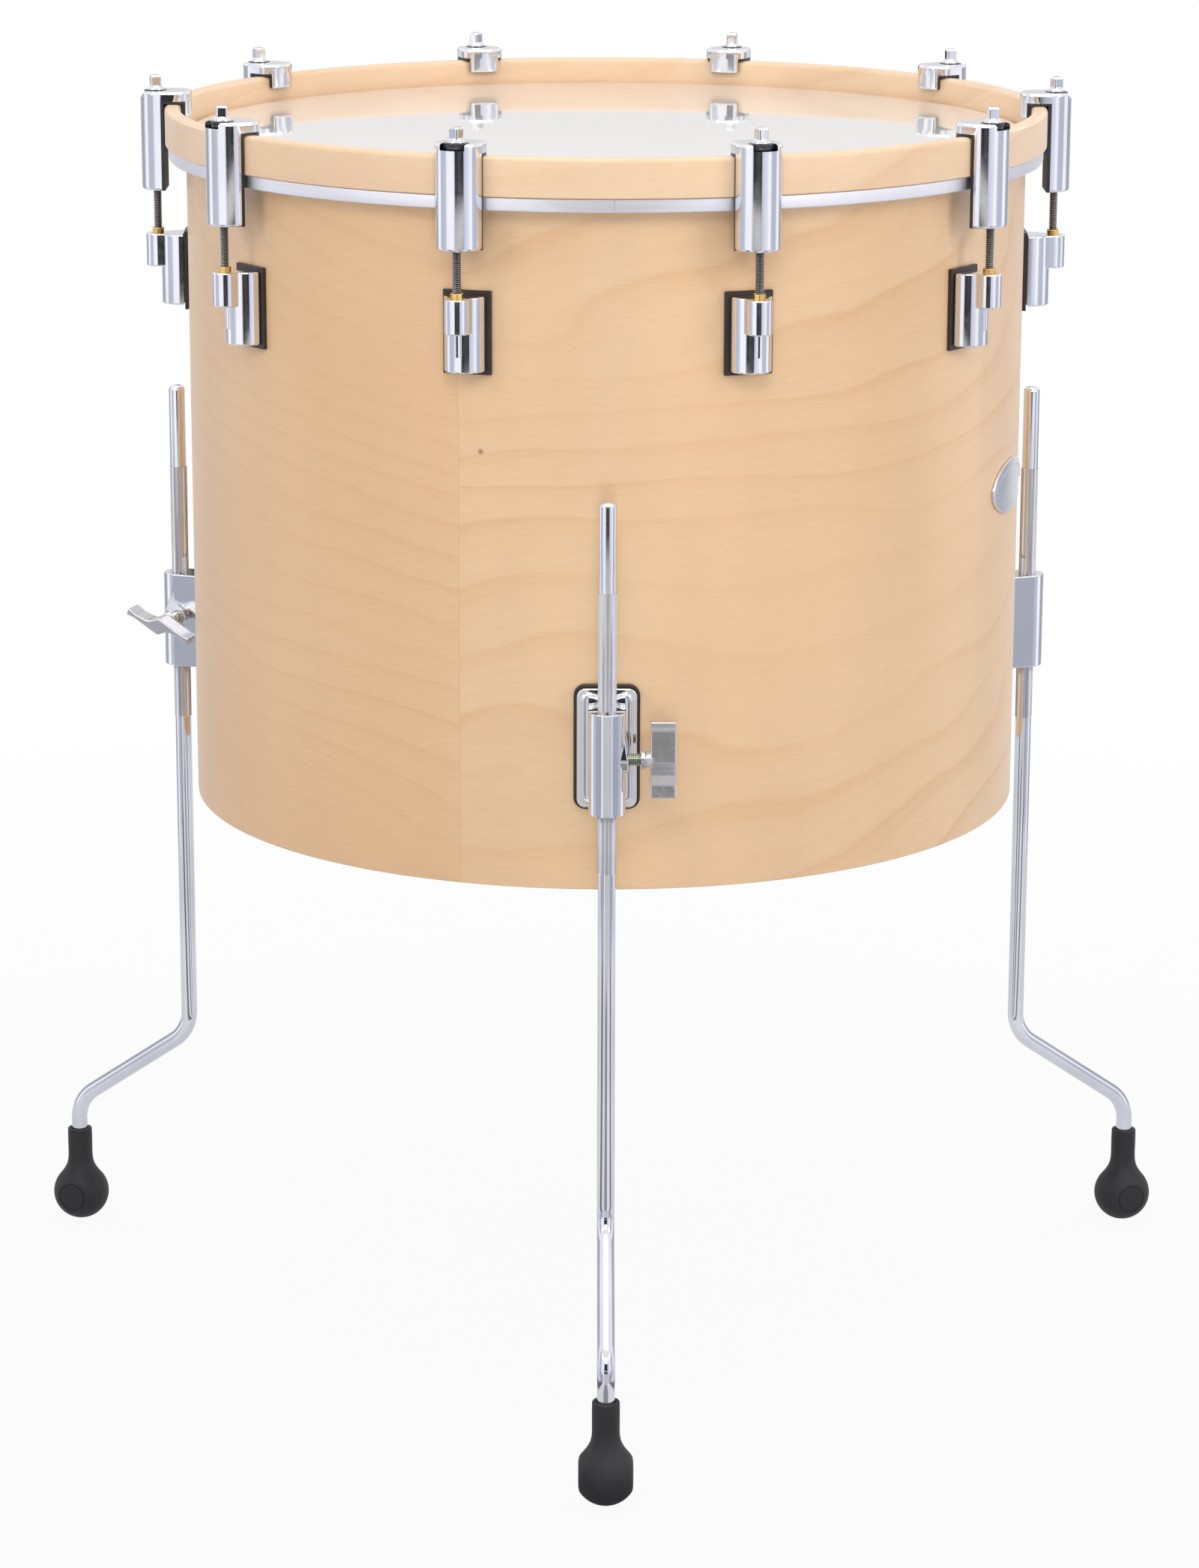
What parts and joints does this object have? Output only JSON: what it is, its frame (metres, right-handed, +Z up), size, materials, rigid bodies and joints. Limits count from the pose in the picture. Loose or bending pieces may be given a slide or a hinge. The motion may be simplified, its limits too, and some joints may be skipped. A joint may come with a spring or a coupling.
{
  "type": "floor tom",
  "caption": "Open-bottomed maple floor tom with a hooped batter head, clawed tension rods and height-adjustable bent legs on rubber feet.",
  "frame": {"origin": "on the floor, under the centre of the outer box; the drum's axis stands 57.4 mm behind it along +Y", "axes": "+Z up along the drum's axis, -Y towards the front leg, +X to the right as seen from the front"},
  "size_m": [0.7304, 0.6522, 0.7712],
  "materials": {
    "shell_maple": "satin lacquered maple veneer",
    "hoop_maple": "satin lacquered maple",
    "head_film": "smooth glossy white film",
    "hoop_aluminium": "bright rolled aluminium",
    "chrome": "polished chrome plate",
    "leg_chrome": "polished chrome plate with a knurled stretch",
    "rod_steel": "bright plated steel",
    "zinc_plate": "zinc-plated steel",
    "foot_rubber": "matt black rubber",
    "gasket_black": "black moulded gasket",
    "badge_metal": "polished metal plate",
    "insert_brass": "turned brass"
  },
  "bodies": {
    "drum": {"shell": "shell_maple", "batter_head": "head_film", "flesh_hoop": "hoop_aluminium", "wood_hoop": "hoop_maple", "badge": "badge_metal", "claw_01": "chrome", "claw_02": "chrome", "claw_03": "chrome", "claw_04": "chrome", "claw_05": "chrome", "claw_06": "chrome", "claw_07": "chrome", "claw_08": "chrome", "claw_09": "chrome", "claw_10": "chrome", "lug_01": "chrome", "lug_02": "chrome", "lug_03": "chrome", "lug_04": "chrome", "lug_05": "chrome", "lug_06": "chrome", "lug_07": "chrome", "lug_08": "chrome", "lug_09": "chrome", "lug_10": "chrome", "lug_gasket_01": "gasket_black", "lug_gasket_02": "gasket_black", "lug_gasket_03": "gasket_black", "lug_gasket_04": "gasket_black", "lug_gasket_05": "gasket_black", "lug_gasket_06": "gasket_black", "lug_gasket_07": "gasket_black", "lug_gasket_08": "gasket_black", "lug_gasket_09": "gasket_black", "lug_gasket_10": "gasket_black", "leg_bracket_front": "chrome", "leg_bracket_right": "chrome", "leg_bracket_left": "chrome", "bracket_gasket_front": "gasket_black", "bracket_gasket_right": "gasket_black", "bracket_gasket_left": "gasket_black"},
    "tension_rod_01": {"tension_rod_01": "rod_steel"},
    "tension_rod_02": {"tension_rod_02": "rod_steel"},
    "tension_rod_03": {"tension_rod_03": "rod_steel"},
    "tension_rod_04": {"tension_rod_04": "rod_steel"},
    "tension_rod_05": {"tension_rod_05": "rod_steel"},
    "tension_rod_06": {"tension_rod_06": "rod_steel"},
    "tension_rod_07": {"tension_rod_07": "rod_steel"},
    "tension_rod_08": {"tension_rod_08": "rod_steel"},
    "tension_rod_09": {"tension_rod_09": "rod_steel"},
    "tension_rod_10": {"tension_rod_10": "rod_steel"},
    "leg_front": {"leg_rod_front": "leg_chrome", "foot_front": "foot_rubber"},
    "leg_right": {"leg_rod_right": "leg_chrome", "foot_right": "foot_rubber"},
    "leg_left": {"leg_rod_left": "leg_chrome", "foot_left": "foot_rubber"},
    "wing_bolt_front": {"wing_bolt_front": "zinc_plate"},
    "wing_bolt_right": {"wing_bolt_right": "zinc_plate"},
    "wing_bolt_left": {"wing_bolt_left": "zinc_plate"}
  },
  "joints": [
    {"name": "tension_rod_01_turn", "type": "hinge", "parent": "drum", "child": "tension_rod_01", "pos_m": [0.08427, -0.20196, 0.732], "axis": [0, 0, 1], "range_deg": [-180, 1800]},
    {"name": "tension_rod_02_turn", "type": "hinge", "parent": "drum", "child": "tension_rod_02", "pos_m": [0.22062, -0.1029, 0.732], "axis": [0, 0, 1], "range_deg": [-180, 1800]},
    {"name": "tension_rod_03_turn", "type": "hinge", "parent": "drum", "child": "tension_rod_03", "pos_m": [0.2727, 0.05739, 0.732], "axis": [0, 0, 1], "range_deg": [-180, 1800]},
    {"name": "tension_rod_04_turn", "type": "hinge", "parent": "drum", "child": "tension_rod_04", "pos_m": [0.22062, 0.21768, 0.732], "axis": [0, 0, 1], "range_deg": [-180, 1800]},
    {"name": "tension_rod_05_turn", "type": "hinge", "parent": "drum", "child": "tension_rod_05", "pos_m": [0.08427, 0.31674, 0.732], "axis": [0, 0, 1], "range_deg": [-180, 1800]},
    {"name": "tension_rod_06_turn", "type": "hinge", "parent": "drum", "child": "tension_rod_06", "pos_m": [-0.08427, 0.31674, 0.732], "axis": [0, 0, 1], "range_deg": [-180, 1800]},
    {"name": "tension_rod_07_turn", "type": "hinge", "parent": "drum", "child": "tension_rod_07", "pos_m": [-0.22062, 0.21768, 0.732], "axis": [0, 0, 1], "range_deg": [-180, 1800]},
    {"name": "tension_rod_08_turn", "type": "hinge", "parent": "drum", "child": "tension_rod_08", "pos_m": [-0.2727, 0.05739, 0.732], "axis": [0, 0, 1], "range_deg": [-180, 1800]},
    {"name": "tension_rod_09_turn", "type": "hinge", "parent": "drum", "child": "tension_rod_09", "pos_m": [-0.22062, -0.1029, 0.732], "axis": [0, 0, 1], "range_deg": [-180, 1800]},
    {"name": "tension_rod_10_turn", "type": "hinge", "parent": "drum", "child": "tension_rod_10", "pos_m": [-0.08427, -0.20196, 0.732], "axis": [0, 0, 1], "range_deg": [-180, 1800]},
    {"name": "leg_front_height", "type": "slide", "parent": "drum", "child": "leg_front", "axis": [0, 0, -1], "range_m": [-0.23, 0.1]},
    {"name": "leg_right_height", "type": "slide", "parent": "drum", "child": "leg_right", "axis": [0, 0, -1], "range_m": [-0.23, 0.1]},
    {"name": "leg_left_height", "type": "slide", "parent": "drum", "child": "leg_left", "axis": [0, 0, -1], "range_m": [-0.23, 0.1]},
    {"name": "wing_bolt_front_turn", "type": "hinge", "parent": "drum", "child": "wing_bolt_front", "pos_m": [0, -0.22761, 0.4174], "axis": [1, 0, 0], "range_deg": [-45, 720]},
    {"name": "wing_bolt_right_turn", "type": "hinge", "parent": "drum", "child": "wing_bolt_right", "pos_m": [0.27105, 0.14546, 0.4174], "axis": [-0.309, 0.9511, 0], "range_deg": [-45, 720]},
    {"name": "wing_bolt_left_turn", "type": "hinge", "parent": "drum", "child": "wing_bolt_left", "pos_m": [-0.27105, 0.14546, 0.4174], "axis": [-0.309, -0.9511, 0], "range_deg": [-45, 720]}
  ]
}
